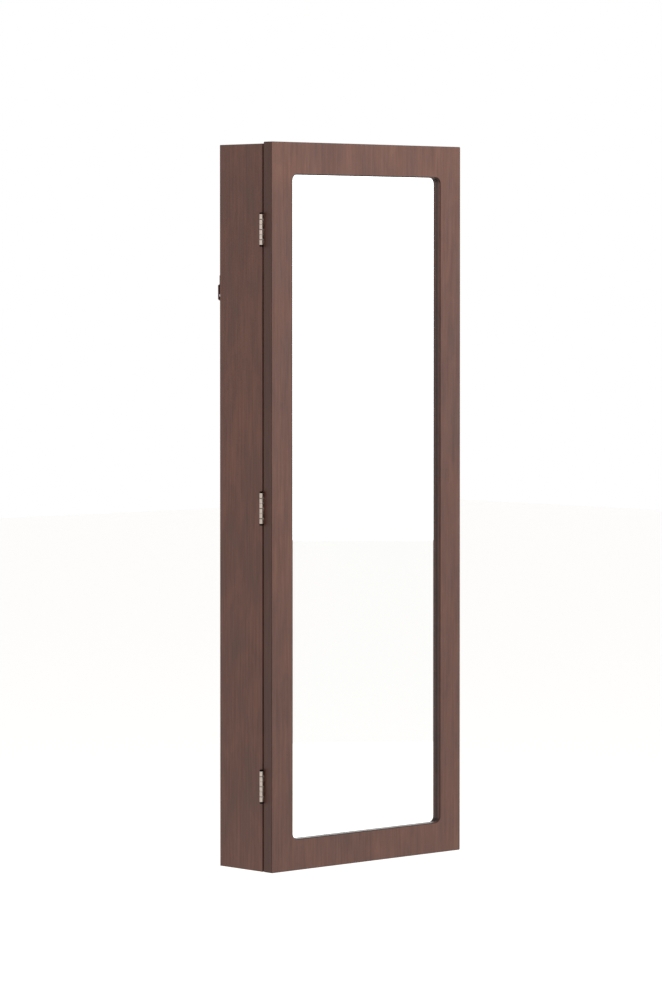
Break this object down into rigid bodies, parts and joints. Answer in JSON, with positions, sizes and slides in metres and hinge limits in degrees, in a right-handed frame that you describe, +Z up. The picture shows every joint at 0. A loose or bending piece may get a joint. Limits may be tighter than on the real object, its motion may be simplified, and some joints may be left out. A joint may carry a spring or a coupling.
{
  "type": "jewelry armoire",
  "caption": "Tall shallow wall-hung jewelry cabinet with a full-length mirror door, hinged on its left, over a lined interior of pegs, ring rolls, bars and shelves.",
  "frame": {"origin": "on the wall plane, midway between the round entry holes of the two keyhole hangers", "axes": "+X to the right seen from the room, +Y into the wall, +Z up; the mirror door faces -Y"},
  "size_m": [0.4421, 0.132, 1.2],
  "materials": {
    "brown_wood": "satin brown stain over fine straight grain",
    "back_board": "smooth hardboard",
    "dowel_wood": "plain beech",
    "mirror": "silvered float glass",
    "nickel": "satin nickel plate",
    "dark_steel": "blackened steel",
    "screw_steel": "zinc plate",
    "brown_steel": "brown enamel",
    "brass": "satin lacquered brass",
    "lining_suede": "short-napped faux suede",
    "jewel_velvet": "short-pile velvet",
    "pouch_cloth": "fine woven cotton",
    "clear_acrylic": "clear polished acrylic",
    "catch_plastic": "moulded brown plastic",
    "magnet": "dull black ferrite",
    "pad_rubber": "soft black rubber"
  },
  "bodies": {
    "carcass": {"left_side": "brown_wood", "right_side": "brown_wood", "top_panel": "brown_wood", "bottom_panel": "brown_wood", "back_panel": "back_board", "left_hanger": "brown_steel", "right_hanger": "brown_steel", "wall_pads": "pad_rubber", "back_lining": "lining_suede", "left_lining": "lining_suede", "right_lining": "lining_suede", "shelf_felts": "lining_suede", "lower_shelf": "brown_wood", "middle_shelf": "brown_wood", "ring_shelf": "brown_wood", "upper_shelf": "brown_wood", "necklace_rail": "brown_wood", "ring_tray": "brown_wood", "ring_rolls": "jewel_velvet", "earring_brackets": "brown_wood", "earring_bars": "clear_acrylic", "bracelet_cradles": "brown_wood", "catch_cases": "catch_plastic", "catch_magnets": "magnet", "top_hinge_body_leaf": "nickel", "middle_hinge_body_leaf": "nickel", "bottom_hinge_body_leaf": "nickel", "hinge_pins": "dark_steel", "carcass_dowels": "dowel_wood", "back_panel_brads": "screw_steel", "hanger_screws": "brown_steel", "shelf_pins": "brass", "guard_rods": "brass", "necklace_pegs": "brass", "rack_screws": "screw_steel", "cradle_screws": "screw_steel", "hinge_body_screws": "nickel", "catch_screws": "screw_steel"},
    "door": {"door_frame": "brown_wood", "mirror_glass": "mirror", "mirror_board": "back_board", "door_lining": "lining_suede", "board_screws": "screw_steel", "door_peg_rail": "brown_wood", "door_pegs": "brass", "earring_panel": "clear_acrylic", "panel_spacers": "brass", "door_rack_screws": "brass", "door_pouch": "pouch_cloth", "strike_plates": "nickel", "strike_screws": "nickel", "hinge_door_screws": "nickel", "top_hinge_door_leaf": "nickel", "middle_hinge_door_leaf": "nickel", "bottom_hinge_door_leaf": "nickel"},
    "upper_bracelet_bar": {"upper_bracelet_core": "dowel_wood", "upper_bracelet_sleeve": "jewel_velvet"},
    "lower_bracelet_bar": {"lower_bracelet_core": "dowel_wood", "lower_bracelet_sleeve": "jewel_velvet"}
  },
  "joints": [
    {"name": "door_swing", "type": "hinge", "parent": "carcass", "child": "door", "pos_m": [-0.2215, -0.11125, 0], "axis": [0, 0, -1], "range_deg": [0, 180]},
    {"name": "upper_bracelet_bar_lift", "type": "slide", "parent": "carcass", "child": "upper_bracelet_bar", "axis": [0, 0, 1], "range_m": [0, 0.016]},
    {"name": "lower_bracelet_bar_lift", "type": "slide", "parent": "carcass", "child": "lower_bracelet_bar", "axis": [0, 0, 1], "range_m": [0, 0.016]}
  ]
}
